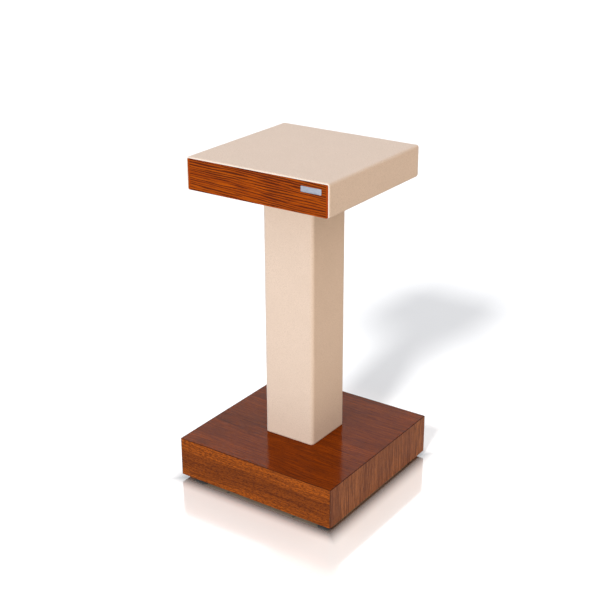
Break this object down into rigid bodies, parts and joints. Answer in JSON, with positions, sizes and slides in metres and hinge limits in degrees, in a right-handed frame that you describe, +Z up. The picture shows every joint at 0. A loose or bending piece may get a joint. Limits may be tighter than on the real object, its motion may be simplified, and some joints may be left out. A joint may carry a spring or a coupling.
{
  "type": "cat tree",
  "caption": "Free-standing cat tree: square carpeted column on a low wood-veneered box base, with a carpeted square lying platform and wood fascia on top",
  "frame": {"origin": "on the floor, under the centre of the base", "axes": "+Z up; -Y towards the front, the side with the badge; +X to the right of a viewer who faces the front"},
  "size_m": [0.45, 0.45, 0.843],
  "materials": {
    "base_veneer": "reddish-brown fine-grained veneer under semi-gloss lacquer",
    "fascia_veneer": "orange-brown veneer with strong dark wavy streaks under satin lacquer",
    "fascia_lipping": "plain solid wood strip stained to match the fascia",
    "carpet": "short dense cream carpet pile on a woven backing",
    "foot_rubber": "matt black moulded rubber",
    "badge_metal": "finely brushed satin plate, blank",
    "insert_brass": "machined brass",
    "zinc_steel": "bright zinc-plated steel",
    "screw_steel": "yellow-passivated zinc on steel",
    "softwood": "planed pine, unfinished",
    "plywood": "birch plywood, unfinished",
    "fibreboard": "raw medium-density fibreboard"
  },
  "bodies": {
    "root": {"badge_plate": "badge_metal", "base_bolt_washers": "zinc_steel", "base_bolts": "zinc_steel", "base_bottom_board": "fibreboard", "base_corner_block_front_left": "softwood", "base_corner_block_front_right": "softwood", "base_corner_block_rear_left": "softwood", "base_corner_block_rear_right": "softwood", "base_front_cleat": "softwood", "base_front_panel": "base_veneer", "base_left_cleat": "softwood", "base_left_panel": "base_veneer", "base_mount_board": "plywood", "base_rear_cleat": "softwood", "base_rear_panel": "base_veneer", "base_right_cleat": "softwood", "base_right_panel": "base_veneer", "base_top_panel": "base_veneer", "bottom_board_screws": "screw_steel", "carcass_screws": "screw_steel", "carpet_staples": "zinc_steel", "fascia_screws": "screw_steel", "foot_screws": "zinc_steel", "front_fascia": "fascia_veneer", "front_fascia_left_lipping": "fascia_lipping", "front_fascia_right_lipping": "fascia_lipping", "mount_board_screws": "screw_steel", "platform_bolt_washers": "zinc_steel", "platform_bolts": "zinc_steel", "platform_bottom_board": "fibreboard", "platform_carpet": "carpet", "platform_front_rail": "softwood", "platform_left_rail": "softwood", "platform_rear_rail": "softwood", "platform_right_rail": "softwood", "platform_top_board": "fibreboard", "post_board_screws": "screw_steel", "post_carpet": "carpet", "post_foot_block": "softwood", "post_foot_inserts": "insert_brass", "post_front_board": "fibreboard", "post_head_block": "softwood", "post_head_inserts": "insert_brass", "post_left_board": "fibreboard", "post_rear_board": "fibreboard", "post_right_board": "fibreboard", "rear_fascia": "fascia_veneer", "rear_fascia_left_lipping": "fascia_lipping", "rear_fascia_right_lipping": "fascia_lipping", "rubber_foot_front_left": "foot_rubber", "rubber_foot_front_right": "foot_rubber", "rubber_foot_rear_left": "foot_rubber", "rubber_foot_rear_right": "foot_rubber"}
  },
  "joints": []
}
